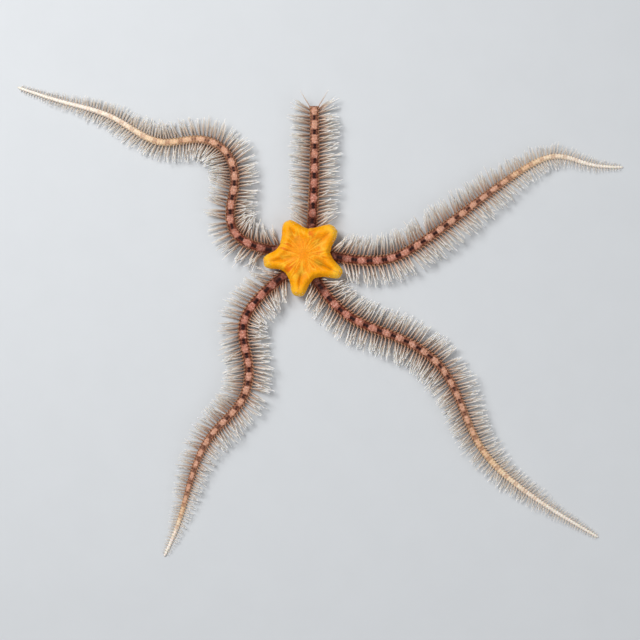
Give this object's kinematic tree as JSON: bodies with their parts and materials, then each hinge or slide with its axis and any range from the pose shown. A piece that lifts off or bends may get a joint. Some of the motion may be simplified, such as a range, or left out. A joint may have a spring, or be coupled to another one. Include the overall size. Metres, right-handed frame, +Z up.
{
  "type": "brittle star",
  "caption": "Brittle star lying flat: a puffed, lobed orange disc with long, thin, winding arms fringed by fine glassy spines; an arm is broken off short.",
  "frame": {"origin": "the middle of the whole outline seen from above, on the surface that the animal lies on", "axes": "+Z up out of the back of the disc, +X along the widest reach of the arms (from the tip of the back left arm towards the tip of the right one), +Y towards the broken arm"},
  "size_m": [0.1106, 0.0866, 0.0042],
  "materials": {
    "disc_skin": "satin",
    "oral_plates": "matte",
    "jaw_plates": "matte",
    "arm_plates": "satin",
    "arm_spines": "satin"
  },
  "bodies": {
    "root": {"arm_back_base": "arm_plates", "arm_back_left_base": "arm_plates", "arm_back_left_bend": "arm_plates", "arm_back_left_outer": "arm_plates", "arm_back_left_tip": "arm_plates", "arm_back_stump": "arm_plates", "arm_front_left_base": "arm_plates", "arm_front_left_middle": "arm_plates", "arm_front_left_outer": "arm_plates", "arm_front_left_tip": "arm_plates", "arm_front_right_base": "arm_plates", "arm_front_right_middle": "arm_plates", "arm_front_right_outer": "arm_plates", "arm_front_right_tip": "arm_plates", "arm_right_base": "arm_plates", "arm_right_middle": "arm_plates", "arm_right_outer": "arm_plates", "arm_right_tip": "arm_plates", "disc_centre": "disc_skin", "jaw_back_left": "jaw_plates", "jaw_back_right": "jaw_plates", "jaw_front": "jaw_plates", "jaw_front_right": "jaw_plates", "jaw_left": "jaw_plates", "lobe_back_left": "disc_skin", "lobe_back_right": "disc_skin", "lobe_front": "disc_skin", "lobe_front_right": "disc_skin", "lobe_left": "disc_skin", "oral_frame": "oral_plates"}
  },
  "joints": []
}
